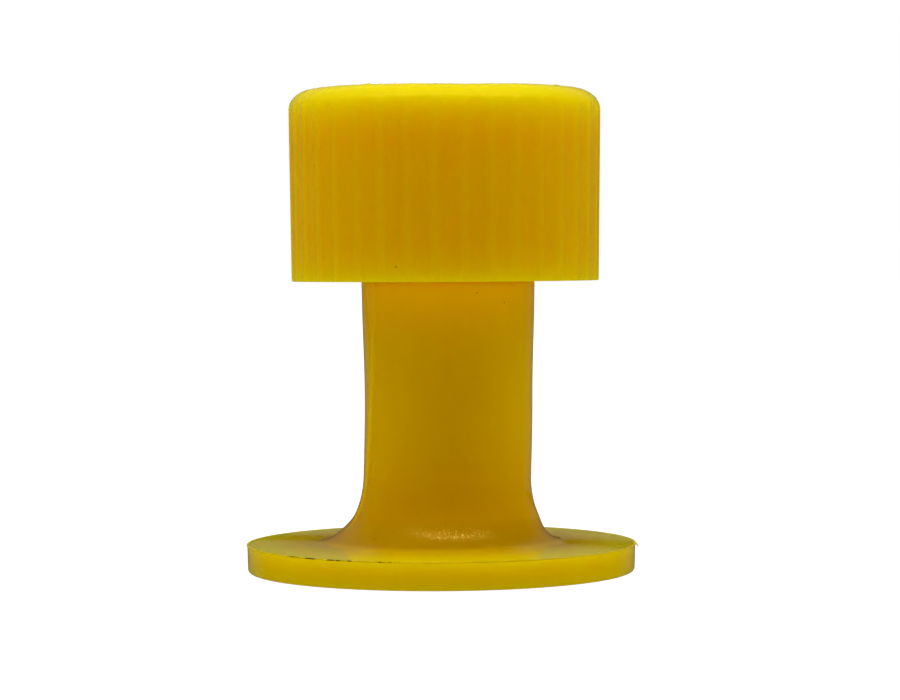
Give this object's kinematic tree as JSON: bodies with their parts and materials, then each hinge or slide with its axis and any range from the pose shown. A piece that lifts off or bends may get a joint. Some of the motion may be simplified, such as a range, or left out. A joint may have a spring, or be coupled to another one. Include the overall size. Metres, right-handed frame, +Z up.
{
  "type": "glue pull tab",
  "caption": "Round plastic pull tab: a ribbed grip head on a plain stem that flares into a flat disc pad, which is glued to a surface so that a forked claw can pull the head.",
  "frame": {"origin": "centre of the pad's flat underside", "axes": "+Z up the stem to the crown of the head; the part is round, and -Y is its front"},
  "size_m": [0.0204, 0.0204, 0.025],
  "materials": {
    "foot_plastic": "glossy, translucent amber-yellow moulding",
    "head_plastic": "satin, translucent amber-yellow moulding",
    "flash_plastic": "thin, clear yellow flash"
  },
  "bodies": {
    "root": {"pad": "foot_plastic", "pad_flash": "flash_plastic", "stem_root": "foot_plastic", "stem": "foot_plastic", "head": "head_plastic", "grip_ribs": "head_plastic", "crown": "head_plastic"}
  },
  "joints": []
}
